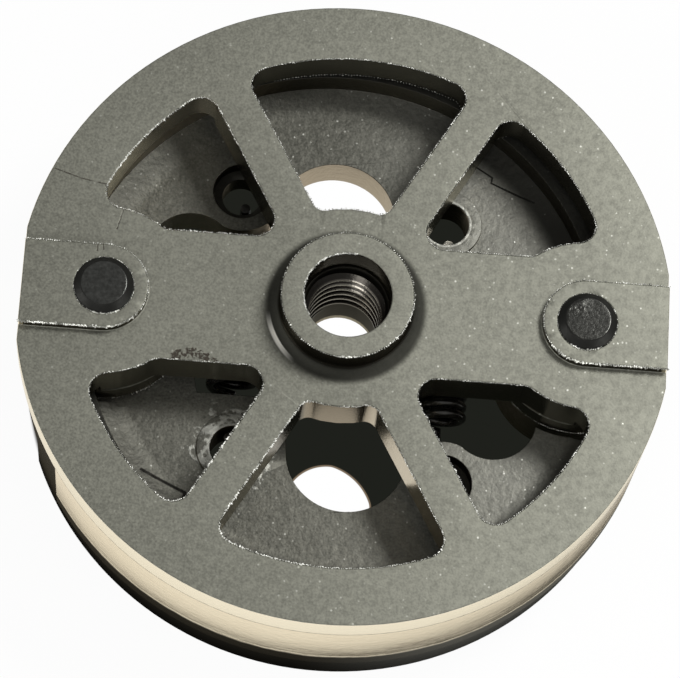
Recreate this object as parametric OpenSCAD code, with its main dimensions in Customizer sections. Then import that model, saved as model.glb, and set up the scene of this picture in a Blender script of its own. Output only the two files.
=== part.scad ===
// Centrifugal clutch of a brush cutter: a six-window carrier plate screwed on the crankshaft,
// two shoes that swing outwards on pins, and two tension springs that pull the shoes closed.
// The lowest faces of the shoes lie at z = 0, and the bore axis is the z axis.

/* [Carrier plate] */
// Diameter of the carrier plate and of the ground friction faces
clutch_d = 76; // [73:0.5:80]
// Depth of the two flats beside the pads
flat_depth = 0.65; // [0.1:0.05:1.5]
// Thickness of the plate at its rim
rim_t = 3.7; // [3:0.1:5]
// Thickness of the spokes and of the disc round the hub
spoke_t = 6; // [5:0.1:6.5]
// Depth of the lip round the outer ends of the windows, from the plate's top
lip_t = 4.6; // [4:0.1:5]
// Width of the lip
lip_w = 2.2; // [1.2:0.1:3]
// Width of the ring outside the windows
ring_w = 6.65; // [6:0.05:8]
// Width of each slanted spoke
spoke_w = 4.6; // [3.5:0.1:6.5]
// Angle of the slanted spokes from the line through the pins
spoke_a = 60; // [56:1:64]
// Width of the two broad spokes that carry the pins
cross_w = 15.9; // [14:0.1:18]
// Radius of the hub-side ends of the two large windows
hub_window_r = 12.2; // [11:0.1:13.5]
// Corner radius at the outer ends of the windows
window_r_out = 2.2; // [1:0.1:3]
// Corner radius at the inner ends of the windows
window_r_in = 1.6; // [0.8:0.1:2.2]

/* [Hub] */
// Diameter of the boss on the top of the plate
boss_d = 15.24; // [14:0.1:18]
// Height of the boss above the plate
boss_h = 4.03; // [2:0.1:6]
// Radius of the fillet at the foot of the boss
boss_fillet = 1.5; // [0.5:0.1:2.5]
// Minor diameter of the crankshaft thread
thread_d = 8.5; // [7:0.1:10]
// Diameter of the plain counterbore at the top of the bore
counterbore_d = 10.14; // [9:0.1:11.5]
// Depth of the counterbore, from the boss's top
counterbore_h = 4.2; // [2:0.1:8]
// Diameter of the barrel under the plate
barrel_d = 16; // [14.5:0.1:16.5]
// Length of the hub, from the boss's top to the barrel's lower end
hub_h = 20; // [16:0.5:23]

/* [Pads and pins] */
// Distance from the plate's edge in to the middle of each pin
pin_inset = 10.1; // [9.5:0.1:10.7]
// Diameter of each pin
pin_d = 6.9; // [6:0.1:8]
// Height of each pin's end above its pad
pin_proud = 0.95; // [0.5:0.05:2]
// Chamfer at the top end of each pin
pin_chamfer = 0.8; // [0.3:0.1:1.2]
// Width of the raised pad round each pin
pad_w = 10.2; // [9:0.1:13]
// Height of the pads above the plate
pad_h = 1.1; // [0.4:0.1:2]
// Radius of the boss that carries each pin under the plate
pin_boss_r = 10.15; // [8:0.05:10.6]
// Depth of those bosses, from the plate's top
pin_boss_t = 9.1; // [7:0.1:10]
// Thickness of the shim between each pin boss and the arm below it
shim_t = 0.4; // [0.2:0.1:1]
// Outer radius of the shims
shim_r = 6.5; // [5:0.1:8]

/* [Shoes] */
// Height of each shoe
shoe_h = 18.6; // [17:0.1:20]
// Gap between the shoes and the plate's rim
plate_gap = 0.3; // [0.2:0.1:0.8]
// Height of the ground friction face, from the shoe's top
face_h = 12.3; // [8:0.1:15]
// Depth by which the cast faces lie inside the ground ones
cast_relief = 0.6; // [0.3:0.1:1]
// Radial thickness of the shoe's rim, with the ground face
shoe_rim_t = 6.85; // [5.5:0.05:7]
// Shift of the rim's inner wall towards the free end
wall_shift = 1.1; // [0:0.1:1.5]
// Thickness of the shoe's web
web_t = 5; // [3.5:0.1:6]
// Rise of the sloped foot where the web meets the rim
foot_h = 1; // [0.4:0.1:2]
// Width of that sloped foot
foot_w = 2.6; // [1:0.1:4]
// Angle at which the friction face begins, from the line through the pins
heel_a = 33.2; // [30:0.1:36]
// Angle at which the shoe's free end stops
toe_a = 159; // [150:0.5:162]
// Gap round the other shoe's pivot boss
toe_gap = 0.45; // [0.3:0.05:1.2]
// Height of the pivot eye, from the web's top
eye_h = 8; // [5:0.1:10]
// Wall between the opening in the middle of the web and the recess for the spring's hook
notch_wall = 1.16; // [0.6:0.02:2.5]

/* [Springs] */
// Wire diameter of the springs
wire_d = 1.2; // [0.8:0.1:1.4]
// Outer diameter of the springs' coils
coil_d = 6.4; // [5:0.1:6.6]
// Length of the coiled part
coil_len = 15.6; // [12:0.2:16]
// Where the springs lie between the barrel, at 0, and the pivot eyes, at 1
spring_side = 0.27; // [0.05:0.01:0.95]
// Number of whole turns
coil_turns = 12; // [8:1:12]
// Radius of the hole that takes the hook at the pivot's side
hook_hole_r = 2.7; // [2:0.05:3.2]
// Radius of the hole that takes the hook at the free end's side
toe_hole_r = 2.3; // [1.9:0.05:2.6]
// Radius of the recess over that hole
toe_recess_r = 3.46; // [3:0.05:3.8]
// Depth of that recess
toe_recess_h = 2; // [0.5:0.1:3]

/* [Pin retainers] */
// Thickness of the washer under each pivot eye
washer_t = 0.8; // [0.5:0.1:1.5]
// Outer radius of those washers
washer_r = 6; // [5:0.1:7.5]
// Thickness of the retaining rings
clip_t = 0.7; // [0.5:0.1:1]
// Outer radius of the retaining rings
clip_r = 5.2; // [4.6:0.1:6]
// Depth of the ring's groove in the pin
groove_t = 0.75; // [0.4:0.05:1.2]

/* [Hidden] */
$fn = 96;

// How far cutting shapes run past the faces that they cut
over = 1;
// Running clearance of a pin in its eye, on the radius
pin_fit = 0.05;
// Play between flat faces that turn on each other
play = 0.05;

plate_r = clutch_d / 2;
flats_w = clutch_d - 2 * flat_depth;
plate_z = shoe_h + plate_gap + rim_t;
boss_z = plate_z + boss_h;
hub_bottom = boss_z - hub_h;
pad_z = plate_z + pad_h;
pin_x = plate_r - pin_inset;
pin_r = pin_d / 2;

window_r = plate_r - ring_w;
lip_r = window_r + lip_w;
thread_r = thread_d / 2;
counterbore_r = counterbore_d / 2;

cast_r = plate_r - cast_relief;
wall_r = plate_r - shoe_rim_t;
face_z = shoe_h - face_h;
rebate_z = plate_z - lip_t - 0.6;
rebate_r = lip_r + 0.4;
spoke_end_r = wall_r - wall_shift - 0.6;

web_top = plate_z - pin_boss_t - shim_t;
web_z = web_top - web_t;
eye_z = web_top - eye_h;
eye_r = pin_inset - cast_relief;
boss_clear_r = pin_boss_r + toe_gap;

// Step between the windows' arcs and the pin bosses under them
boss_step = 0.05;

// Places in the upper shoe's plan. The lower shoe is the same, turned half way round.
spring_room = pin_x - eye_r - barrel_d / 2 - coil_d;
spring_x = (barrel_d + coil_d) / 2 + spring_side * spring_room;
hole_offset = 0.54;
scallop_inset = 9.58;
notch_at = [-1.47, 14.65];
toe_hole_at = [-spring_x - hole_offset, 17.34];
hook_hole_at = [spring_x - hole_offset, 15];
scallop_at = [scallop_inset - pin_x, 8.81];
notch_r = norm(toe_hole_at - notch_at) - toe_recess_r - notch_wall;
scallop_r = 5.2;
toe_lobe_r = 5.1;
hook_ring_r = 4.25;
hook_ring_h = 0.3;
heel_end_a = 14;
skirt_a = 22;
web_edge_y = 8.4;
spring_gap = 0.92;
arm_edge_x = spring_x + coil_d / 2 + spring_gap;

// The seam between the arm and the shoe: from inside the notch to the foot of the rim, and
// from there out through the point where the friction face begins
seam_foot = [22.1, 18.5];
heel_at = plate_r * [cos(heel_a), sin(heel_a)];
seam = [[5, 16], [7.6, 18.6], [12.9, 24], [17, 21.5], [16.9, 20.8], seam_foot, 2 * heel_at - seam_foot];

wire_r = wire_d / 2;
coil_r = (coil_d - wire_d) / 2;
leg_z = web_z - 0.1 - wire_r;
coil_z = leg_z + coil_r;
tip_z = web_z + 3.2;
hook_bend = 1.1;
hook_gap = 0.2;

washer_top = eye_z - play;
clip_top = washer_top - washer_t - play;
pin_bottom = clip_top - clip_t - 1.2;
groove_r = pin_r - 0.8;

// A flat piece of pie between two angles
module pie(r, a0, a1) {
    steps = 12;
    polygon(concat([[0, 0]], [
        for (i = [0:steps])
            let (a = a0 + (a1 - a0) * i / steps)
            [r * cos(a), r * sin(a)]
    ]));
}

// Its children twice, half a turn apart
module opposite() {
    for (a = [0, 180]) rotate(a) children();
}

// Its children with their outward corners rounded
module rounded(r) {
    offset(r = r, $fn = 40) offset(delta = -r) children();
}

// The six gaps between the spokes, run in to where the spokes meet
module spoke_gaps() {
    difference() {
        circle(r = window_r, $fn = 360);
        square([2 * plate_r, cross_w], center = true);
        for (a = [spoke_a, 180 - spoke_a])
            rotate(a) square([2 * plate_r, spoke_w], center = true);
        opposite() translate([pin_x, 0]) circle(r = pin_boss_r + boss_step, $fn = 180);
    }
}

// The six windows: the large ones end at the hub's disc, with tighter corners there
module windows() {
    intersection() {
        rounded(window_r_out) spoke_gaps();
        rounded(window_r_in) difference() {
            spoke_gaps();
            intersection() {
                circle(r = hub_window_r);
                opposite() pie(plate_r, spoke_a, 180 - spoke_a);
            }
        }
    }
}

// What is left of its children between the two flats
module between_flats() {
    intersection() {
        children();
        translate([0, 0, boss_z / 2]) cube([flats_w, 2 * clutch_d, 2 * boss_z], center = true);
    }
}

// The turned middle of the carrier: boss with its fillet, and the barrel below
module hub() {
    boss_r = boss_d / 2;
    translate([0, 0, hub_bottom])
        cylinder(d = barrel_d, h = plate_z - hub_bottom);
    rotate_extrude() difference() {
        translate([0, plate_z - 1]) square([boss_r + boss_fillet, boss_h + 1]);
        translate([boss_r, plate_z + boss_fillet]) square([2 * boss_fillet, boss_h]);
        translate([boss_r + boss_fillet, plate_z + boss_fillet]) circle(r = boss_fillet);
    }
}

// The bore: counterbore, cone, thread at its minor diameter, and a chamfer below
module hub_bore() {
    cone_h = counterbore_r - thread_r;
    counterbore_z = boss_z - counterbore_h;
    translate([0, 0, hub_bottom - over])
        cylinder(r = thread_r, h = hub_h + 2 * over);
    translate([0, 0, counterbore_z])
        cylinder(r = counterbore_r, h = counterbore_h + over);
    translate([0, 0, counterbore_z - cone_h])
        cylinder(r1 = thread_r, r2 = counterbore_r, h = cone_h);
    translate([0, 0, hub_bottom - 0.01])
        cylinder(r1 = counterbore_r, r2 = thread_r, h = cone_h);
}

// A raised pad round one pin, run out to the plate's flat
module pad() {
    between_flats() translate([pin_x, 0, plate_z - over]) {
        cylinder(d = pad_w, h = pad_h + over);
        translate([0, -pad_w / 2, 0]) cube([plate_r, pad_w, pad_h + over]);
    }
}

module carrier() {
    color("#85867a") difference() {
        union() {
            difference() {
                union() {
                    between_flats() translate([0, 0, plate_z - rim_t])
                        cylinder(r = plate_r, h = rim_t, $fn = 180);
                    translate([0, 0, plate_z - lip_t])
                        cylinder(r = lip_r, h = lip_t - 0.5);
                    translate([0, 0, plate_z - spoke_t])
                        cylinder(r = spoke_end_r, h = spoke_t - 0.5);
                    between_flats() opposite() translate([pin_x, 0, plate_z - pin_boss_t])
                        cylinder(r = pin_boss_r, h = pin_boss_t - 0.5);
                }
                translate([0, 0, plate_z - spoke_t - over])
                    linear_extrude(spoke_t + 2 * over) windows($fn = 120);
            }
            opposite() pad();
            hub();
        }
        hub_bore();
        opposite() translate([pin_x, 0, plate_z - pin_boss_t - over])
            cylinder(r = pin_r, h = pin_boss_t + pad_h + 2 * over);
    }
}

// One pin: pressed in the carrier, chamfered at its top, grooved near its lower end
module pin(side) {
    top = pad_z + pin_proud;
    groove_z = clip_top - groove_t + (groove_t - clip_t) / 2;
    color("#1c1c1c") translate([side * pin_x, 0]) rotate_extrude() polygon([
        [0, pin_bottom],
        [pin_r - 0.5, pin_bottom],
        [pin_r, pin_bottom + 0.5],
        [pin_r, groove_z],
        [groove_r, groove_z],
        [groove_r, groove_z + groove_t],
        [pin_r, groove_z + groove_t],
        [pin_r, top - pin_chamfer],
        [pin_r - pin_chamfer, top],
        [0, top]
    ]);
}

// A flat ring round a pin
module ring(side, r, z, t) {
    color("#8c8c84") translate([side * pin_x, 0, z]) difference() {
        cylinder(r = r, h = t);
        translate([0, 0, -over]) cylinder(r = pin_r + pin_fit, h = t + 2 * over);
    }
}

module shim(side) ring(side, shim_r, web_top, shim_t);
module washer(side) ring(side, washer_r, washer_top - washer_t, washer_t);

// A retaining ring with three inward lugs and one open side
module clip(side) {
    lug_w = 2.4;
    clip_open_a = 28;
    color("#3a3a38") translate([side * pin_x, 0, clip_top - clip_t]) linear_extrude(clip_t)
        difference() {
            circle(r = clip_r);
            difference() {
                circle(r = pin_r + 0.45);
                for (a = [60, 180, 300]) rotate(a) translate([0, -lug_w / 2]) square([clip_r, lug_w]);
            }
            circle(r = groove_r + pin_fit);
            pie(2 * clip_r, -clip_open_a, clip_open_a);
        }
}

// The whole swinging weight in plan at the web's level: web, eye and the ground under the rim
module weight_plan() {
    difference() {
        union() {
            intersection() {
                circle(r = cast_r);
                union() {
                    polygon([
                        [-2 * plate_r, 5], scallop_at, toe_hole_at, notch_at,
                        [5, web_edge_y], [arm_edge_x, web_edge_y], [pin_x - eye_r + 1, -4],
                        [pin_x, 0], [2 * plate_r, 0], [2 * plate_r, 2 * plate_r], [-2 * plate_r, 2 * plate_r]
                    ]);
                    translate(toe_hole_at) circle(r = toe_lobe_r);
                }
            }
            translate([pin_x, 0]) circle(r = eye_r);
        }
        translate(notch_at) circle(r = notch_r);
        polygon([
            notch_at - [notch_r, 0], notch_at + [notch_r, 0],
            [notch_at[0] + notch_r + 0.8, 0], [notch_at[0] - notch_r - 0.8, 0]
        ]);
        translate(scallop_at) circle(r = scallop_r);
        translate([-pin_x, 0]) circle(r = boss_clear_r);
        rotate(toe_a) translate([wall_r - 2, -0.01]) square([plate_r, plate_r]);
    }
}

// The rim's section in plan: everything outside the inner wall, from one angle to the free end
module rim_plan(outer, start_a) {
    difference() {
        intersection() {
            circle(r = outer);
            pie(2 * plate_r, start_a, toe_a);
        }
        translate([-wall_shift, 0]) circle(r = wall_r);
    }
}

// The arm's side of the seam
module arm_side() {
    far = 4 * plate_r;
    polygon(concat(seam, [[far, heel_at[1]], [far, -far], [seam[0][0], -far]]));
}

module shoe_side() {
    difference() {
        square(4 * plate_r, center = true);
        arm_side();
    }
}

// What is cut away over the web: flat to the sloped foot, then up to the rim's inner wall
module dish() {
    translate([-wall_shift, 0]) rotate_extrude() polygon([
        [0, web_top],
        [wall_r - foot_w, web_top],
        [wall_r - 0.02, web_top + foot_h],
        [wall_r - 0.02, shoe_h + over],
        [0, shoe_h + over]
    ]);
}

// One swinging weight before it is parted: web, foot, rim and the rebate for the plate's lip. The
// rim's heel ends level with the web, and the rim reaches its full depth a little further on
module weight(outer) {
    difference() {
        union() {
            translate([0, 0, web_z]) linear_extrude(web_t + foot_h) weight_plan();
            translate([0, 0, web_z]) linear_extrude(shoe_h - web_z) rim_plan(outer, heel_end_a);
            linear_extrude(web_z + over) rim_plan(outer, skirt_a);
        }
        dish();
        opposite() translate([pin_x, 0, web_top]) cylinder(r = boss_clear_r, h = shoe_h);
        translate([0, 0, rebate_z]) cylinder(r = rebate_r, h = shoe_h);
    }
}

module shoe() {
    color("#7b7a70") difference() {
        intersection() {
            weight(plate_r);
            translate([0, 0, -over]) linear_extrude(shoe_h + 2 * over) shoe_side();
        }
        difference() {
            translate([0, 0, -over]) cylinder(r = plate_r + over, h = face_z + over, $fn = 180);
            translate([0, 0, -2 * over]) cylinder(r = cast_r, h = face_z + 4 * over, $fn = 180);
        }
        translate(concat(toe_hole_at, web_z - over)) cylinder(r = toe_hole_r, h = web_t + 2 * over);
        translate(concat(toe_hole_at, web_top - toe_recess_h))
            cylinder(r = toe_recess_r, h = toe_recess_h + over);
    }
}

module arm() {
    color("#74736a") difference() {
        union() {
            intersection() {
                weight(cast_r);
                translate([0, 0, -over]) linear_extrude(shoe_h + 2 * over) arm_side();
            }
            translate([pin_x, 0, eye_z]) cylinder(r = eye_r, h = eye_h);
            translate(concat(hook_hole_at, web_top - 0.5))
                cylinder(r = hook_ring_r, h = hook_ring_h + 0.5);
        }
        translate([pin_x, 0, eye_z - over]) cylinder(r = pin_r + pin_fit, h = eye_h + 2 * over);
        translate(concat(hook_hole_at, web_z - over)) cylinder(r = hook_hole_r, h = web_t + 2 * over);
    }
}

// Points of the right spring's middle line, from the hook in the upper arm to the one in the lower shoe
function spring_path() =
    let (
        steps = 12,
        y_up = hook_hole_at[1] - hook_hole_r + wire_r + hook_gap,
        y_low = -(toe_hole_at[1] - toe_hole_r + wire_r + hook_gap),
        mid = (hook_hole_at[1] - toe_hole_at[1] + toe_hole_r - hook_hole_r) / 2,
        y0 = mid + coil_len / 2,
        pitch = coil_len / coil_turns
    )
    concat(
        hook_points(y_up, -1),
        [for (i = [0:coil_turns * steps])
            let (a = -90 + 360 * i / steps)
            [spring_x + coil_r * cos(a), y0 - pitch * i / steps, coil_z + coil_r * sin(a)]],
        reverse(hook_points(y_low, 1))
    );

// A hook's middle line: its tip upright in the hole, and a bend down to the leg
function hook_points(y, dir) =
    concat(
        [[spring_x, y, tip_z]],
        [for (a = [0:30:90]) [
            spring_x,
            y + dir * hook_bend * (1 - cos(a)),
            leg_z + hook_bend * (1 - sin(a))
        ]]
    );

function reverse(list) = [for (i = [len(list) - 1:-1:0]) list[i]];

// A direction turned square to t with as little twist as can be
function squared(u, t) =
    let (w = u - (u * t) * t)
    w / norm(w);

// A round wire swept along a line of points
module wire(points) {
    sides = 6;
    n = len(points);
    tangents = [
        for (i = [0:n - 1])
            let (t = points[min(i + 1, n - 1)] - points[max(i - 1, 0)])
            t / norm(t)
    ];
    across = [
        for (
            i = 0, u = squared([1, 0, 0], tangents[0]);
            i < n;
            i = i + 1, u = squared(u, tangents[min(i, n - 1)])
        ) u
    ];
    rings = [
        for (i = [0:n - 1])
            let (v = cross(tangents[i], across[i]))
            for (k = [0:sides - 1])
                let (a = 360 * k / sides)
                points[i] + wire_r * (cos(a) * across[i] + sin(a) * v)
    ];
    polyhedron(
        points = rings,
        faces = concat(
            [[for (k = [0:sides - 1]) k]],
            [
                for (i = [0:n - 2], k = [0:sides - 1])
                    let (a = i * sides + k, b = i * sides + (k + 1) % sides)
                    [a, a + sides, b + sides, b]
            ],
            [[for (k = [sides - 1:-1:0]) (n - 1) * sides + k]]
        )
    );
}

module spring() color("#2b2b2a") wire(spring_path());

carrier();
pin(-1);  // pin_left
pin(1);  // pin_right
shim(-1);  // shim_left
shim(1);  // shim_right
shoe();  // shoe_upper
arm();  // arm_upper
rotate(180) shoe();  // shoe_lower
rotate(180) arm();  // arm_lower
rotate(180) spring();  // spring_left
spring();  // spring_right
washer(-1);  // washer_left
washer(1);  // washer_right
clip(-1);  // clip_left
clip(1);  // clip_right
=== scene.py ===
"""The looks of a brush cutter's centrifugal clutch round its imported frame. Lengths in metres."""

import math

import bmesh
import bpy
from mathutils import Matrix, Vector


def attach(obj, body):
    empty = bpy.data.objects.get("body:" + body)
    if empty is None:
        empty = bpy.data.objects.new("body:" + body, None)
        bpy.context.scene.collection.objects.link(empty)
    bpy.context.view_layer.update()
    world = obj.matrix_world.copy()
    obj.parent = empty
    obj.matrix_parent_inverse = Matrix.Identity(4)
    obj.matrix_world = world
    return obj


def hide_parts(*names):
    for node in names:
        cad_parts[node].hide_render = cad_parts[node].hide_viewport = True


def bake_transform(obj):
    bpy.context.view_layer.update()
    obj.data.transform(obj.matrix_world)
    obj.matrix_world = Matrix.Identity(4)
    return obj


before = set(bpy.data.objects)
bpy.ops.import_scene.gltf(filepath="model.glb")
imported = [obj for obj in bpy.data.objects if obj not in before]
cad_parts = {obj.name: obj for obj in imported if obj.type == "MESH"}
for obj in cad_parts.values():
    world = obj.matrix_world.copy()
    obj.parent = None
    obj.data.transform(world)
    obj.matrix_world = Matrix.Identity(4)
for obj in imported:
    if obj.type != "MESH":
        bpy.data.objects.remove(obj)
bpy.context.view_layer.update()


# The camera stands above and in front of the clutch, with a long lens. The photograph was taken
# the same way: the plate's ellipses, the pads and the pins gave its place to a pixel.
mm = 0.001
camera = bpy.data.objects.new("camera", bpy.data.cameras.new("camera"))
bpy.context.scene.collection.objects.link(camera)
bpy.context.scene.camera = camera
camera.location = (-14.64 * mm, -142.88 * mm, 400.0 * mm)
camera.rotation_euler = (math.radians(20.03), math.radians(-3.374), math.radians(3.329))
camera.data.sensor_width = 36
camera.data.lens = 185.47
camera.data.clip_start, camera.data.clip_end = 0.01, 5
bpy.context.scene.view_settings.view_transform = "Standard"


# The carrier is one sintered steel piece: ring, spokes, hub, pads and the bosses of the pins. It
# is pressed in a die, so its flat faces are matt and granular, its walls are burnished, and every
# die edge wears down or rolls up to a bright burr.
class Wire:
    """A node's socket. Arithmetic on it adds Math nodes."""

    def __init__(self, nodes, socket):
        self.nodes, self.socket = nodes, socket

    def math(self, operation, *values):
        return self.nodes.node(
            "ShaderNodeMath", {"operation": operation}, dict(enumerate(values)))

    def __add__(self, other):
        return self.math("ADD", self, other)

    def __sub__(self, other):
        return self.math("SUBTRACT", self, other)

    def __rsub__(self, other):
        return self.math("SUBTRACT", other, self)

    def __mul__(self, other):
        return self.math("MULTIPLY", self, other)

    def __truediv__(self, other):
        return self.math("DIVIDE", self, other)

    def __pow__(self, other):
        return self.math("POWER", self, other)

    __radd__, __rmul__ = __add__, __mul__

    def least(self, other):
        return self.math("MINIMUM", self, other)

    def most(self, other):
        return self.math("MAXIMUM", self, other)

    def rise(self, start, end):
        """0 before start, 1 after end, and smooth between."""
        return self.nodes.node(
            "ShaderNodeMapRange", {"interpolation_type": "SMOOTHSTEP"},
            {0: self, 1: start, 2: end})

    def fall(self, start, end):
        """1 before start, 0 after end, and smooth between."""
        return 1 - self.rise(start, end)


class Nodes:
    """A node tree that grows node by node."""

    def __init__(self, tree):
        self.tree = tree

    def node(self, kind, settings, sockets, out=0):
        """Adds a node with its settings, then the values or links of its sockets."""
        made = self.tree.nodes.new(kind)
        for name, value in settings.items():
            setattr(made, name, value)
        for key, value in sockets.items():
            if isinstance(value, Wire):
                self.tree.links.new(value.socket, made.inputs[key])
            else:
                made.inputs[key].default_value = value
        return Wire(self, made.outputs[out])


class Finish(Nodes):
    """A material whose patterns follow Object coordinates."""

    def __init__(self, name):
        self.material = bpy.data.materials.new(name)
        self.material.use_nodes = True
        super().__init__(self.material.node_tree)
        self.surface = self.tree.nodes["Principled BSDF"]
        self.place = self.node("ShaderNodeTexCoord", {}, {}, "Object")
        self.x, self.y, self.z = (
            self.node("ShaderNodeSeparateXYZ", {}, {0: self.place}, axis) for axis in range(3))

    def facing(self, axis):
        """How squarely the surface faces along x, y or z, which are 0, 1 and 2."""
        normal = self.node("ShaderNodeNewGeometry", {}, {}, "Normal")
        return self.node("ShaderNodeSeparateXYZ", {}, {0: normal}, axis)

    def noise(self, size, detail=2.0, stretch=(1, 1, 1), shift=0.0):
        """Soft noise from 0 to 1 whose blotches are about size wide."""
        where = self.node("ShaderNodeMapping", {}, {
            "Vector": self.place, "Location": (shift,) * 3, "Scale": stretch})
        return self.node("ShaderNodeTexNoise", {}, {
            "Vector": where, "Scale": 1 / size, "Detail": detail})

    def grains(self, size, shift):
        """Distance to the nearest grain's centre as a share of size, and the grain's own number."""
        where = self.node("ShaderNodeMapping", {}, {
            "Vector": self.place, "Location": (shift,) * 3})
        near = self.node("ShaderNodeTexVoronoi", {}, {"Vector": where, "Scale": 1 / size})
        tint = Wire(self, near.socket.node.outputs["Color"])
        return near, self.node("ShaderNodeSeparateColor", {}, {0: tint})

    def mix(self, share, first, second):
        """A colour between first and second."""
        colours = {
            key: colour if isinstance(colour, Wire) else (*colour, 1)
            for key, colour in ((6, first), (7, second))}
        return self.node("ShaderNodeMix", {"data_type": "RGBA"}, {0: share, **colours}, 2)

    def coated(self, colour, *coats):
        """A colour under coats, each given as its share and its own colour."""
        for share, coat in coats:
            colour = self.mix(share, colour, coat)
        return colour

    def bump(self, height, depth):
        """A normal that follows height, a share of depth in metres."""
        return self.node("ShaderNodeBump", {}, {
            "Height": height, "Distance": depth, "Strength": 1.0})

    def set(self, **sockets):
        """Gives the surface its values or wires, and hands over the material."""
        for key, value in sockets.items():
            target = self.surface.inputs[key.replace("_", " ")]
            if isinstance(value, Wire):
                self.tree.links.new(value.socket, target)
            else:
                target.default_value = (*value, 1) if isinstance(value, tuple) else value
        return self.material


def distance(dx, dy):
    """The length of a step in plan, for wires."""
    return (dx * dx + dy * dy) ** 0.5


def sintered(name, light, dark, seed, roughness=0.42, specks=0.5):
    """Pressed and sintered steel: fine granules, blotches of oil and heat, and bright specks."""
    flake = (0.9, 0.9, 0.82)
    steel = Finish(name)
    fine = steel.noise(0.28 * mm, 2, shift=seed)
    blotch = steel.noise(0.8 * mm, 6, shift=seed + 0.1)
    cloud = steel.noise(18 * mm, 2, shift=seed + 0.2)
    near, own = steel.grains(0.5 * mm, seed)
    # Specks and blotches grow stronger towards the right, where the light falls: partly painted
    # sparkle.
    lit_right = steel.x.rise(-25 * mm, 30 * mm)
    speck = near.fall(0.08, 0.36) * own.rise(0.78, 0.96) * blotch.rise(0.4, 0.6) * specks
    speck = speck * (0.4 + 0.6 * lit_right)
    level = fine * 1.3 + (blotch - 0.5) * (0.6 + 0.5 * lit_right) + cloud * 0.4 - 0.35
    colour = steel.coated(steel.mix(level.rise(0.0, 1.0), dark, light), (speck, flake))
    rough = roughness + 0.22 * fine - 0.12 * speck
    height = fine * 0.6 + speck * 0.5
    return steel, colour, rough, height


def burnished(steel, colour, rough, rubbed, sheen=0.2):
    """The walls that the die or the drum has rubbed: plain metal, which mirrors what it faces,
    tinted with the painted reflection given as rubbed.
    """
    upward = steel.facing(2)
    wall = (upward * upward).fall(0.1, 0.5)
    drawn = steel.noise(0.7 * mm, 2, (1, 1, 0.1))
    return wall, steel.mix(wall, colour, rubbed), rough + wall * (sheen + 0.05 * drawn - rough)


def worn_edge(name, light, dark, seed, roughness, depth):
    """The finish of the edges that wear has rounded and brightened."""
    edge, colour, rough, height = sintered(name, light, dark, seed, roughness)
    return edge.set(
        Base_Color=colour, Metallic=0.85, Roughness=rough, Normal=edge.bump(height, depth))


def upper_left(finish):
    """1 in the upper left window, whose walls get a painted bright reflection, and 0 elsewhere."""
    return finish.x.fall(-16 * mm, -13 * mm) * finish.y.rise(6 * mm, 9 * mm)


def line(finish, points, width):
    """1 on a thin line through points in plan, in mm, fading to 0 at half its width."""
    nearest = None
    for (x0, y0), (x1, y1) in zip(points, points[1:]):
        span = math.hypot(x1 - x0, y1 - y0)
        ux, uy = (x1 - x0) / span, (y1 - y0) / span
        px, py = finish.x - x0 * mm, finish.y - y0 * mm
        along = (px * ux + py * uy).most(0.0).least(span * mm)
        away = distance(px - along * ux, py - along * uy)
        nearest = away if nearest is None else nearest.least(away)
    return nearest.fall(width * 0.2, width * 0.5)


weld_dist = 0.002 * mm


def softened(node, name, width, segments=2, crisp=None, foot=None):
    """A node's mesh as one skin, with its sharp edges rounded. The rounds take the second finish.
    Edges whose ends are both crisp stay. Gentle edges at the foot's height get a wide round."""
    flat, sharp_from, round_shade, plain_shade = (math.radians(a) for a in (0.6, 32, 50, 16))
    gentle_from, gentle_to, level_dist, foot_width = 0.3, 0.5, 0.02 * mm, 1.0 * mm
    cut = {
        "offset_type": "OFFSET", "profile": 0.5, "affect": "EDGES", "clamp_overlap": False}
    piece = bpy.data.objects.new(name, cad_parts[node].data.copy())
    bpy.context.scene.collection.objects.link(piece)
    skin = bmesh.new()
    skin.from_mesh(piece.data)
    bmesh.ops.remove_doubles(skin, verts=skin.verts, dist=weld_dist)
    bmesh.ops.dissolve_limit(skin, angle_limit=flat, verts=skin.verts, edges=skin.edges)
    if foot:
        gentle = [
            e for e in skin.edges
            if len(e.link_faces) == 2 and gentle_from < e.calc_face_angle() < gentle_to
            and all(abs(v.co.z - foot) < level_dist for v in e.verts)]
        bmesh.ops.bevel(skin, geom=gentle, offset=foot_width, segments=4, **cut)
    bmesh.ops.triangulate(skin, faces=[f for f in skin.faces if len(f.verts) > 4])
    sharp = [
        e for e in skin.edges
        if len(e.link_faces) == 2 and e.calc_face_angle() > sharp_from
        and not (crisp and all(crisp(v.co) for v in e.verts))]
    bmesh.ops.bevel(skin, geom=sharp, offset=width, segments=segments, material=1, **cut)
    for face in skin.faces:
        face.smooth = True
    for edge in skin.edges:
        rounded = any(face.material_index for face in edge.link_faces)
        edge.smooth = edge.calc_face_angle(0) < (round_shade if rounded else plain_shade)
    skin.to_mesh(piece.data)
    skin.free()
    piece.data.materials.clear()
    weighted = piece.modifiers.new("even shading", "WEIGHTED_NORMAL")
    weighted.keep_sharp = True
    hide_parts(node)
    return piece


plate_z, rim_r = 22.6 * mm, 37.3 * mm
carrier = softened(
    "carrier", "carrier_body", 0.16 * mm,
    crisp=lambda v: v.z < 19.2 * mm and math.hypot(v.x, v.y) > rim_r)
steel, colour, rough, height = sintered(
    "carrier_steel", (0.26, 0.26, 0.216), (0.15, 0.15, 0.125), 0.0)
radius = distance(steel.x, steel.y)
on_top = steel.z.rise(plate_z - 0.1 * mm, plate_z)
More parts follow.
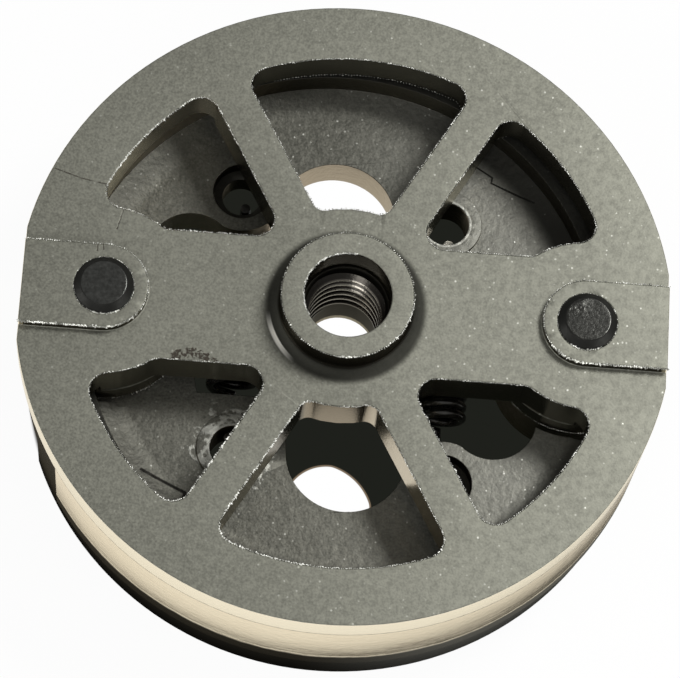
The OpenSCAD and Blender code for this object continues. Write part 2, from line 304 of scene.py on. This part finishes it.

# The walls' colours are painted reflections: the lower middle window's walls are painted as
# dark and then cream paper from left to right, the upper left window's as cream paper, and the
# others as grey steel.
sideways = (steel.x * steel.x) ** 0.5
low_window = steel.y.fall(-10 * mm, -8.5 * mm) * sideways.fall(12 * mm, 14 * mm)
painted_reflections = steel.mix(steel.x.rise(2 * mm, 5 * mm), (0.22, 0.18, 0.13), (0.56, 0.49, 0.38))
painted_reflections = steel.mix(low_window, (0.21, 0.205, 0.18), painted_reflections)
painted_reflections = steel.mix(upper_left(steel), painted_reflections, (0.95, 0.90, 0.79))
wall, colour, rough = burnished(steel, colour, rough, painted_reflections)
# Walls above the plate, and the lower walls facing right, are painted dark: painted shade.
raised_shade = wall * steel.z.rise(plate_z, plate_z + 0.1 * mm)
shaded = wall * steel.facing(0).rise(0.3, 0.6) * steel.y.fall(-12 * mm, -10 * mm)
# The rim's turned side is painted cream, partly painted glare of the white paper.
turned_glare = radius.rise(37.0 * mm, 37.2 * mm) * wall

# The bore is painted dark, a painted shade, above its lower land, which is painted light beige,
# painted light from the paper below. The groove round the hub's foot is painted dark, a painted
# shade, and its outer side has a painted glint at the lower left.
bore_shade = radius.fall(5.06 * mm, 5.1 * mm) * steel.z.fall(22.3 * mm, 22.5 * mm)
lit_land = bore_shade * steel.z.fall(8.1 * mm, 8.4 * mm)
groove_shade = radius.rise(7.66 * mm, 7.8 * mm) * radius.fall(8.8 * mm, 9.7 * mm)
groove_shade = groove_shade * on_top * steel.z.fall(plate_z + 3 * mm, plate_z + 3.8 * mm)
rough = rough + groove_shade * 0.15 + bore_shade * 0.3
painted_glint = radius.rise(8.7 * mm, 8.85 * mm) * radius.fall(9.15 * mm, 9.4 * mm) * on_top
painted_glint = painted_glint * steel.x.fall(-7.8 * mm, -5.4 * mm) * steel.y.fall(-4.2 * mm, -1.0 * mm)

# Hairline cracks run beside the left pad, and a thin flake has broken off by the lower left window.
crack_w, chip_w = 0.2 * mm, 2.2 * mm
crack = line(steel, ((-37.9, 15.2), (-35.1, 14.6), (-31.6, 13.5), (-28.2, 12.9)), crack_w)
for branch in (
    ((-26.4, 10.2), (-27.0, 7.5)), ((-29.0, 5.4), (-29.0, 4.2)), ((-28.4, 5.3), (-28.3, 4.4)),
):
    crack = crack.most(line(steel, branch, crack_w))
crack = crack * steel.noise(0.9 * mm, 2, shift=1.0).rise(0.25, 0.55)
chip = line(steel, ((-19.0, -7.4), (-17.2, -6.9), (-14.6, -8.0)), chip_w)
chip = (chip * 0.5 + steel.noise(0.45 * mm, 4, shift=5.0)).rise(0.95, 1.05)
chip = chip * (1 - wall) * on_top
height = height - crack * 2.0 - chip * 2.0

colour = steel.coated(
    colour,
    (raised_shade, (0.05, 0.046, 0.04)),
    (bore_shade, (0.03, 0.028, 0.022)),
    (lit_land, (0.45, 0.40, 0.29)),
    (shaded * 0.8, (0.03, 0.028, 0.02)),
    (groove_shade * 0.88, (0.015, 0.015, 0.012)),
    (painted_glint * (1 - wall), (0.9, 0.88, 0.8)),
    (turned_glare, (1.0, 0.91, 0.72)),
    ((crack * 0.65).most(chip * 0.85), (0.03, 0.02, 0.015)),
)
carrier.data.materials.append(steel.set(
    Base_Color=colour, Metallic=0.8 + 0.2 * wall, Roughness=rough,
    Normal=steel.bump(height, 0.02 * mm), Specular_Tint=(0.85, 0.82, 0.74)))
carrier.data.materials.append(worn_edge(
    "carrier_edges", (0.95, 0.94, 0.85), (0.35, 0.35, 0.30), 0.4, 0.25, 0.08 * mm))

# Turning has drawn the rim's lower outer edge down over the gap to the shoes.
rim_low, rim_high, drawn_down = 18.7 * mm, 19.1 * mm, 0.2 * mm
for v in carrier.data.vertices:
    if rim_low < v.co.z < rim_high and math.hypot(v.co.x, v.co.y) > rim_r:
        v.co.z -= drawn_down
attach(carrier, "carrier")


# The die leaves a beaded burr along the windows, the pads and the boss. It is the carrier's own
# steel, rolled over and rubbed bright.
class Recipe(Nodes):
    """A Geometry Nodes tree with named inputs, which makes one plain mesh."""

    KINDS = {
        float: "NodeSocketFloat", int: "NodeSocketInt",
        bpy.types.Material: "NodeSocketMaterial"}

    def __init__(self, name, **values):
        super().__init__(bpy.data.node_groups.new(name, "GeometryNodeTree"))
        self.values = values
        face = self.tree.interface
        for way in ("INPUT", "OUTPUT"):
            face.new_socket("Geometry", in_out=way, socket_type="NodeSocketGeometry")
        self.keys = {
            key: face.new_socket(
                key, in_out="INPUT", socket_type=self.KINDS[type(value)]).identifier
            for key, value in values.items()}
        given = self.tree.nodes.new("NodeGroupInput").outputs
        self.given = {socket.name: Wire(self, socket) for socket in given}

    def make(self, name, result, start=None):
        """Ends the tree, runs it on start and gives the result as a plain object."""
        real = self.node("GeometryNodeRealizeInstances", {}, {0: result})
        painted = self.node(
            "GeometryNodeSetMaterial", {}, {0: real, "Material": self.given["finish"]})
        end = self.tree.nodes.new("NodeGroupOutput")
        self.tree.links.new(painted.socket, end.inputs[0])
        bench = bpy.data.objects.new(name, start or bpy.data.meshes.new(name))
        bpy.context.scene.collection.objects.link(bench)
        run = bench.modifiers.new(name, "NODES")
        run.node_group = self.tree
        for key, value in self.values.items():
            run[self.keys[key]] = value
        done = bench.evaluated_get(bpy.context.evaluated_depsgraph_get())
        mesh = bpy.data.meshes.new_from_object(done)
        bench.modifiers.remove(run)
        bench.data = mesh
        return bench


def edges_at(node, level, low, high, box=(-40, 40, -40, 40)):
    """The convex edges of a node at one height, between two distances from the axis, in a box."""
    left, right, near, far = (side * mm for side in box)
    level_dist, convex_from = 0.01 * mm, 0.5
    skin = bmesh.new()
    skin.from_mesh(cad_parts[node].data)
    bmesh.ops.remove_doubles(skin, verts=skin.verts, dist=weld_dist)
    kept = set()
    for edge in skin.edges:
        middle = (edge.verts[0].co + edge.verts[1].co) / 2
        flat = all(abs(v.co.z - level) < level_dist for v in edge.verts)
        boxed = left < middle.x < right and near < middle.y < far
        ringed = low < math.hypot(middle.x, middle.y) < high
        if flat and boxed and ringed and edge.calc_face_angle_signed(0) > convex_from:
            kept.add(edge)
    bmesh.ops.delete(skin, geom=[e for e in skin.edges if e not in kept], context="EDGES")
    mesh = bpy.data.meshes.new("edges")
    skin.to_mesh(mesh)
    skin.free()
    return mesh


bright = Finish("rubbed_burr")
smeared = bright.noise(1.2 * mm, 3).rise(0.35, 0.65)
rubbed = bright.set(
    Base_Color=bright.mix(smeared, (0.25, 0.25, 0.22), (1.0, 1.0, 0.93)),
    Metallic=0.6, Roughness=0.25 + 0.2 * bright.noise(0.3 * mm))
pad_z, hub_z = plate_z + 1.1 * mm, plate_z + 4.03 * mm
window_r, pad_r, hub_r = (10 * mm, 33 * mm), (20 * mm, 37.2 * mm), (7 * mm, 9 * mm)

# Each run has the place of its edges, the beads' spacing and radius, and its seed.
burr_runs = {
    "window_burr": ((plate_z, *window_r), 0.22 * mm, 0.11 * mm, 5),
    "upper_grit": ((plate_z, 31 * mm, 33 * mm, (-40, -16, 8, 40)), 0.30 * mm, 0.17 * mm, 15),
    "lower_grit": ((plate_z, 12 * mm, 33 * mm, (-14, -3, -34, -11)), 0.32 * mm, 0.17 * mm, 16),
    "pad_burr": ((pad_z, *pad_r), 0.26 * mm, 0.12 * mm, 6),
    "boss_burr": ((hub_z, *hub_r), 0.30 * mm, 0.10 * mm, 7),
    "bore_burr": ((hub_z, 4.5 * mm, 5.5 * mm, (-6, 1, -3, 6)), 0.10 * mm, 0.14 * mm, 18),
    "pad_grit": ((pad_z, *pad_r, (-40, 40, -40, -3)), 0.24 * mm, 0.20 * mm, 19),
    "boss_grit": ((hub_z, *hub_r, (-1, 9, -9, 1)), 0.3 * mm, 0.16 * mm, 17),
    "lip_burr": (
        (plate_z - 4.6 * mm, 30 * mm, 34 * mm, (-10, 18, 20, 40)), 0.35 * mm, 0.09 * mm, 8),
    "pin_boss_burr": (
        (13.5 * mm, 17 * mm, 34 * mm, (-38, 38, -14, 0)), 0.28 * mm, 0.12 * mm, 9),
}
stray_low, stray_high = (-0.06 * mm, -0.06 * mm, -0.05 * mm), (0.06 * mm, 0.06 * mm, 0.02 * mm)
for name, (where, spacing, size, seed) in burr_runs.items():
    burr = Recipe(name, spacing=spacing, size=size, seed=seed, finish=rubbed)
    stray, turn, swell = (
        burr.node(
            "FunctionNodeRandomValue", {"data_type": "FLOAT_VECTOR"},
            {"Min": low, "Max": high, "Seed": burr.given["seed"]})
        for low, high in (
            (stray_low, stray_high), ((0, 0, 0), (math.tau,) * 3),
            ((0.4, 0.3, 0.3), (1.9, 1.1, 0.9))))
    run = burr.node("GeometryNodeMeshToCurve", {}, {0: burr.given["Geometry"]})
    run = burr.node(
        "GeometryNodeResampleCurve", {"mode": "LENGTH"},
        {0: run, "Length": burr.given["spacing"]})
    run = burr.node("GeometryNodeSetPosition", {}, {0: run, "Offset": stray})
    bead = burr.node(
        "GeometryNodeMeshIcoSphere", {}, {"Radius": burr.given["size"], "Subdivisions": 1})
    bead = burr.node("GeometryNodeSetShadeSmooth", {}, {0: bead})
    beads = burr.node("GeometryNodeInstanceOnPoints", {}, {
        "Points": run, "Instance": bead, "Rotation": turn, "Scale": swell})
    rolled = burr.make(name, beads, edges_at("carrier", *where))
    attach(rolled, "carrier")


# The bore is tapped for the crankshaft's M10 x 1.5 thread. Its ridges run out towards the plain
# counterbore above and the chamfer below. The plain wall stands back at the thread's root.
pitch, root_r, crest_r = 1.5 * mm, 5.05 * mm, 4.25 * mm
thread_low, thread_high = 10.5 * mm, 21.4 * mm
for v in carrier.data.vertices:
    reach = math.hypot(v.co.x, v.co.y)
    if reach < root_r - 0.1 * mm and 15 * mm < v.co.z < 22 * mm:
        v.co.x, v.co.y = v.co.x * root_r / reach, v.co.y * root_r / reach
tapped = Finish("tapped_steel")
crest = distance(tapped.x, tapped.y).fall(crest_r + 0.06 * mm, crest_r + 0.2 * mm)
crest = crest * tapped.z.rise(11 * mm, 14 * mm) * tapped.z.fall(19.6 * mm, 20.6 * mm)
crest = crest * (0.4 + 0.6 * tapped.noise(1.5 * mm, stretch=(1, 1, 4)))
tapped_finish = tapped.set(
    Base_Color=tapped.mix(crest, (0.05, 0.046, 0.04), (0.50, 0.465, 0.40)),
    Metallic=0.9, Roughness=0.22, Normal=tapped.bump(tapped.noise(0.6 * mm), 0.01 * mm),
    Specular_Tint=(0.5, 0.49, 0.45))
buried = 0.03 * mm
depth, crest_w, foot_w = root_r + buried - crest_r, 0.14 * mm, 0.66 * mm
thread = Recipe(
    "thread", turns=(thread_high - thread_low) / pitch, rise=thread_high - thread_low,
    root=root_r + buried, finish=tapped_finish)
helix = thread.node("GeometryNodeCurveSpiral", {}, {
    "Resolution": 72, "Rotations": thread.given["turns"], "Start Radius": thread.given["root"],
    "End Radius": thread.given["root"], "Height": thread.given["rise"], "Reverse": True})
helix = thread.node("GeometryNodeSetCurveNormal", {"mode": "Z_UP"}, {0: helix})
ridge = thread.node("GeometryNodeCurvePrimitiveQuadrilateral", {"mode": "POINTS"}, {
    "Point 1": (-depth, crest_w, 0), "Point 2": (-depth, -crest_w, 0),
    "Point 3": (0, -foot_w, 0), "Point 4": (0, foot_w, 0)})
along = thread.node("GeometryNodeSplineParameter", {}, {})
runs_in = thread.node("ShaderNodeMapRange", {}, {
    "Value": along, "From Min": 0.0, "From Max": 0.06, "To Min": 0.05, "To Max": 1.0})
runs_out = thread.node("ShaderNodeMapRange", {}, {
    "Value": along, "From Min": 0.9, "From Max": 1.0, "To Min": 1.0, "To Max": 0.05})
ridges = thread.node("GeometryNodeCurveToMesh", {}, {
    0: helix, 1: ridge, "Scale": runs_in * runs_out, "Fill Caps": True})
ridges = thread.node("GeometryNodeSetShadeSmooth", {}, {0: ridges, "Shade Smooth": False})
placed = thread.node("GeometryNodeTransform", {}, {
    0: ridges, "Translation": (0, 0, thread_low)})
tapping = thread.make("crank_thread", placed)
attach(tapping, "carrier")


# The pins are hardened steel, ground and black oxidised. They are pressed in the carrier's pads,
# and the shoes swing on their lower ends. The right one's face is dented at its upper left.
# The flat faces are painted lighter than the chamfers, and the left pin's face lighter than the
# right one's: painted light and shade.
for side, light in (("left", (0.11, 0.112, 0.104)), ("right", (0.045, 0.045, 0.04))):
    pin = softened(f"pin_{side}", f"pivot_{side}", 0.12 * mm, 3)
    oxide = Finish(f"pin_oxide_{side}")
    fine = oxide.noise(0.4 * mm, 3)
    struck = 0
    if side == "right":
        struck = oxide.x - 26.9 * mm
        struck = struck.fall(0.0, 1.8 * mm) * (oxide.y + 0.4 * mm).rise(0.0, 1.5 * mm)
    dents = struck * oxide.noise(0.5 * mm, 2, shift=2.0)
    flat = oxide.facing(2).rise(0.9, 0.98)
    blacked = oxide.mix(fine, (0.025, 0.025, 0.022), light)
    pin.data.materials.append(oxide.set(
        Base_Color=oxide.mix(flat, (0.018, 0.018, 0.016), blacked), Metallic=0.8,
        Roughness=0.42 + 0.15 * fine - 0.26 * flat,
        Normal=oxide.bump(fine + dents * 3, 0.02 * mm)))
    chamfer = Finish(f"pin_edges_{side}")
    worn_share = chamfer.noise(0.8 * mm).rise(0.3, 0.6)
    pin.data.materials.append(chamfer.set(
        Base_Color=chamfer.mix(worn_share, (0.15, 0.15, 0.14), (0.6, 0.6, 0.56)),
        Metallic=0.9, Roughness=0.2))
    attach(pin, "carrier")


# Each flyweight is sintered steel: a shoe with its ground friction face and the pivot arm that it
# meets along a zigzag seam. The ground face is bright, partly painted glare; the rest is as it came
# from the die. The lower one is the upper one turned half way round: seam and holes are the upper
# one's, in mm.
web_z, near_top = 13.1 * mm, 18.4 * mm
seam = ((5, 16), (7.6, 18.6), (12.9, 24), (17, 21.5), (16.9, 20.8), (22.1, 18.5), (41.5, 23.1))
toe_hole, hook_hole = (-12.82, 17.34), (11.74, 15.0)
flakes_and_light = (0.6, 0.6, 0.54)


def from_seam(x, y):
    """The distance of a place in the upper shoe's plan from the seam."""
    nearest = 1.0
    for (x0, y0), (x1, y1) in zip(seam, seam[1:]):
        start, way = Vector((x0, y0)) * mm, Vector((x1 - x0, y1 - y0)) * mm
        along = min(1, max(0, (Vector((x, y)) - start).dot(way) / way.dot(way)))
        nearest = min(nearest, (Vector((x, y)) - start - way * along).length)
    return nearest


# The lower shoe's steel is painted lighter, a painted light; its hook has scratched it more, and
# its seam gapes wider.
for which, body, sign, light, dark, seed, scratched, slit_w in (
    ("upper", "upper_shoe", 1, (0.165, 0.163, 0.138), (0.078, 0.078, 0.066), 0.7, 0.3, 0.3 * mm),
    ("lower", "lower_shoe", -1, (0.21, 0.207, 0.175), (0.10, 0.10, 0.085), 0.9, 0.8, 0.55 * mm),
):
    for part in ("shoe", "arm"):
        weight = softened(
            f"{part}_{which}", f"{part}_{which}_body", 0.08 * mm, foot=web_z,
            crisp=lambda v: from_seam(sign * v.x, sign * v.y) < 0.15 * mm
            or (v.z > near_top and math.hypot(v.x, v.y) > rim_r))
        steel, colour, rough, height = sintered(
            f"{part}_{which}_steel", light, dark, seed, specks=0.9)
        # The walls' colours are painted reflections, cream in the upper left window.
        painted_reflections = steel.mix(upper_left(steel), (0.34, 0.29, 0.22), (0.8, 0.75, 0.65))
        wall, colour, rough = burnished(steel, colour, rough, painted_reflections, 0.3)
        radius = distance(steel.x, steel.y)
        shadowed = wall * radius.rise(23 * mm, 26 * mm) * steel.x.rise(-16 * mm, -6 * mm)

        # The friction face is painted bright cream down to an uneven line: its ground steel, partly
        # a painted glare of the white paper. Below that line, and on the cast skin, it is painted
        # near
        # black: the cast skin's own dark, and on the face a painted shade mirrored from the floor.
        # The rim's end faces are painted dark brown.
        cast_and_shade = wall * radius.rise(36.7 * mm, 37.0 * mm)
        uneven = steel.z + 0.8 * mm * steel.noise(2.5 * mm, 3, shift=7.0)
        ground_glare = radius.rise(37.6 * mm, 37.8 * mm) * wall * uneven.rise(8.9 * mm, 9.9 * mm)
        streak = steel.noise(0.3 * mm, 3, (0.04, 0.04, 1), 6.0).rise(0.25, 0.7)
        rough = rough - ground_glare * (0.2 - 0.12 * streak) + cast_and_shade * (1 - ground_glare) * 0.4
        outward = (steel.facing(0) * steel.x + steel.facing(1) * steel.y) / radius
        end = wall * (outward * outward).fall(0.2, 0.5) * radius.rise(32 * mm, 33 * mm)

        # The sloping rim and the recesses round the holes lie in shade.
        inward = distance(steel.x + sign * 1.1 * mm, steel.y)
        slope = (1 - wall) * inward.rise(27.9 * mm, 29.4 * mm)
        slope = slope * steel.z.fall(near_top, near_top + 0.1 * mm)
        right = steel.x.rise(4 * mm, 16 * mm) * (0.6 + 0.4 * steel.y.rise(0.0, 4 * mm))
        slope = slope * (0.35 + 0.6 * right.most(steel.z.rise(15 * mm, 16 * mm)))
        below = steel.z.fall(web_z - 0.15 * mm, web_z - 0.05 * mm)
        to_toe, to_hook = (
            distance(steel.x - sign * x * mm, steel.y - sign * y * mm)
            for x, y in (toe_hole, hook_hole))

        # The spring's hook has rubbed a bright ring round its hole, with flakes beyond it.
        height = (height + steel.noise(0.8 * mm, 4, shift=8.0) * 3) * (1 - 0.85 * ground_glare)
        rub = to_hook.fall(3.0 * mm, 7.5 * mm) * scratched
        rub = (rub * 0.4 + steel.noise(1.0 * mm, 8, shift=3.0)).rise(0.70, 0.86) * (1 - wall)
        rub = rub.most(to_hook.fall(2.85 * mm, 3.1 * mm) * (1 - wall) * 0.8)
        height = height + rub * steel.noise(0.5 * mm, 3, shift=4.0) * 3
        slit = line(steel, [(sign * x, sign * y) for x, y in seam[2:6]], slit_w)

        colour = steel.coated(
            colour,
            (shadowed, (0.15, 0.145, 0.125)),
            (cast_and_shade, (0.012, 0.011, 0.009)),
            (ground_glare, steel.mix(streak, (0.84, 0.75, 0.58), (1.0, 0.91, 0.72))),
            (end, (0.03, 0.018, 0.012)),
            # The steel is painted lighter towards the right, a painted light.
            (steel.x.rise(-4 * mm, 18 * mm) * 0.14, flakes_and_light),
            (slope, (0.03, 0.03, 0.026)),
            (below * to_toe.fall(3.5 * mm, 3.6 * mm), (0.034, 0.033, 0.028)),
            (below * to_hook.fall(2.75 * mm, 2.85 * mm), (0.034, 0.033, 0.028)),
            (rub * 0.8, flakes_and_light),
            (slit * (1 - wall), (0.01, 0.01, 0.009)),
        )
        weight.data.materials.append(steel.set(
            Base_Color=colour, Metallic=0.7 + 0.3 * wall, Roughness=rough,
            Normal=steel.bump(height, 0.03 * mm), Specular_Tint=(0.85, 0.79, 0.68)))
        weight.data.materials.append(worn_edge(
            f"{part}_{which}_edges", (0.45, 0.42, 0.34), (0.15, 0.14, 0.12), 1.7, 0.35,
            0.06 * mm))
        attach(weight, body)


# The two tension springs are close-wound music wire, oiled black. Each hooks up into a hole in one
# shoe's arm and one in the other shoe's free end, and lies under the webs. Each is made in two
# halves, each a piece of its own.
wire_r, coil_r, coil_len, turns, steps = 0.6 * mm, 2.6 * mm, 15.6 * mm, 12, 32
spring_x, leg_z, tip_z, bend = 12.28 * mm, 7.4 * mm, 11.3 * mm, 1.1 * mm
hook_up, hook_low = 13.1 * mm, -15.84 * mm
hook_hole_r, toe_hole_r = 2.7, 2.3
coil_top = (hook_hole[1] - hook_hole_r - toe_hole[1] + toe_hole_r) / 2 * mm + coil_len / 2


def hook(y, side):
    """The middle line of a hook, from its upright tip to the leg."""
    curve = [(spring_x, y, tip_z)]
    for i in range(7):
        a = math.radians(15 * i)
        out, down = bend * (1 - math.cos(a)), bend * (1 - math.sin(a))
        curve.append((spring_x, y + side * out, leg_z + down))
    return curve


coil = []
for i in range(turns * steps + 1):
    a = math.tau * i / steps - math.pi / 2
    coil.append((
        spring_x + coil_r * math.cos(a),
        coil_top - coil_len * i / steps / turns,
        leg_z + coil_r + coil_r * math.sin(a)))
path = hook(hook_up, -1) + coil + hook(hook_low, 1)[::-1]
half = len(path) // 2
for side, sign, seed in (("right", 1, 0.0), ("left", -1, 2.0)):
    music = Finish(f"spring_wire_{side}")
    oil = music.noise(0.9 * mm, 2, shift=seed)
    oiled = music.set(
        Base_Color=music.mix(oil, (0.04, 0.04, 0.038), (0.2, 0.195, 0.18)), Metallic=0.9,
        Roughness=0.15 + 0.2 * oil,
        Normal=music.bump(music.noise(0.2 * mm, shift=seed), 0.01 * mm))
    arm_shoe, toe_shoe = ("upper_shoe", "lower_shoe")[::sign]
    for end, shoe, run, edge in (
        ("arm", arm_shoe, path[:half + 1], coil_top),
        ("toe", toe_shoe, path[half:], coil_top - coil_len),
    ):
        start = bpy.data.meshes.new("path")
        links = [(i, i + 1) for i in range(len(run) - 1)]
        start.from_pydata([(sign * x, sign * y, z) for x, y, z in run], links, [])
        wound = Recipe(f"wound_wire_{side}_{end}", radius=wire_r, sides=14, finish=oiled)
        curve = wound.node("GeometryNodeMeshToCurve", {}, {0: wound.given["Geometry"]})
        ring = wound.node("GeometryNodeCurvePrimitiveCircle", {}, {
            "Resolution": wound.given["sides"], "Radius": wound.given["radius"]})
        swept = wound.node("GeometryNodeCurveToMesh", {}, {
            0: curve, 1: ring, "Fill Caps": True})
        smooth = wound.node("GeometryNodeSetShadeSmooth", {}, {0: swept})
        spring = wound.make(f"spring_{side}_{end}_wire", smooth, start)
        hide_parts(f"spring_{side}")
        sign * edge
        sign * (coil_top - coil_len / 2)
        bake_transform(spring)


# The shims, washers and retaining rings are plain stamped steel. The shims and washers lie on the
# pins above and below the shoes' eyes, and the rings are sprung into the pins' grooves.
plain = Finish("stamped_steel")
stamped = plain.set(
    Base_Color=plain.mix(plain.noise(1 * mm), (0.2, 0.2, 0.19), (0.35, 0.35, 0.33)),
    Metallic=0.9, Roughness=0.4)
for name in ("shim", "washer", "clip"):
    for side in ("left", "right"):
        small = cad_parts[f"{name}_{side}"]
        small.data.materials.clear()
        small.data.materials.append(stamped)


# The floor is white paper. The camera and mirror-like metal see it near white outside the clutch.
# Pools of light are painted where light falls through the middle windows and the bore, the paper
# under the clutch is painted near black as its shadow, with a painted brown penumbra at the lower
# pool, and mirrors see a painted shadow close round the clutch.
bpy.ops.mesh.primitive_plane_add(size=3, location=(0, 0, -0.1 * mm))
floor = bpy.context.object
floor.name = "floor"
paper = Finish("paper")


def within(x, y, start, end):
    """1 inside a soft circle on the paper, in mm, and 0 outside it."""
    return distance(paper.x - x * mm, paper.y - y * mm).fall(start * mm, end * mm)


seen = paper.node("ShaderNodeLightPath", {}, {}, "Is Camera Ray")
mirrored = paper.node("ShaderNodeLightPath", {}, {}, "Is Glossy Ray")
web_hole, hub_edge = (0.08, -17.17), (-1.36, -18.75)
lower_spot = within(*web_hole, 5.05, 5.15) * within(*hub_edge, 6.84, 6.94)
upper_spot, bore_spot = within(-0.5, 20.0, 7.8, 8.2), within(0.3, 2.4, 5.6, 5.8)
lit = upper_spot.most(lower_spot).most(bore_spot)
clear = 1 - within(0, 0, 36.8, 37.3)
open_paper = (1 - within(0.4, -2.2, 38.0, 40.0)) * mirrored
paper.set(
    Base_Color=paper.mix(clear, (0.05, 0.05, 0.045), (0.85, 0.85, 0.84)), Roughness=0.9)
penumbra = within(*web_hole, 5.26, 5.38) * within(*hub_edge, 7.05, 7.17) * seen * (1 - clear)
shade_tone = paper.mix(penumbra, (0.0135, 0.0145, 0.0115), (0.20, 0.15, 0.10))
tone = paper.mix((seen * clear).most(lit).most(open_paper), shade_tone, (1, 1, 1))
glow = paper.node("ShaderNodeEmission", {}, {"Color": tone, "Strength": 1.0})
shown = paper.node("ShaderNodeMixShader", {}, {
    0: (seen * (1 - clear * 0.05)).most(mirrored), 1: Wire(paper, paper.surface.outputs[0]),
    2: glow})
paper.tree.links.new(shown.socket, paper.tree.nodes["Material Output"].inputs[0])
floor.data.materials.append(paper.material)


# The light is a small studio's: a lamp high at the back right, weaker ones in front and low at
# both sides, and an even white all round.
world = bpy.data.worlds.new("studio")
bpy.context.scene.world = world
world.use_nodes = True
world.node_tree.nodes["Background"].inputs["Color"].default_value = (1, 1, 1, 1)
world.node_tree.nodes["Background"].inputs["Strength"].default_value = 0.30


def lamp(name, place, size, power):
    """A square soft lamp that faces the clutch, with its place and size in m and power in W."""
    made = bpy.data.objects.new(name, bpy.data.lights.new(name, "AREA"))
    bpy.context.scene.collection.objects.link(made)
    made.data.size, made.data.energy = size, power
    made.location = place
    made.rotation_euler = (-Vector(place)).to_track_quat("-Z", "Y").to_euler()


lamp("key", (0.180, 0.120, 0.345), 0.11, 1.00)
lamp("front", (-0.10, -0.27, 0.27), 0.12, 0.26)
lamp("side_right", (0.30, -0.19, 0.085), 0.22, 0.6)
lamp("side_left", (-0.33, -0.115, 0.09), 0.16, 0.45)
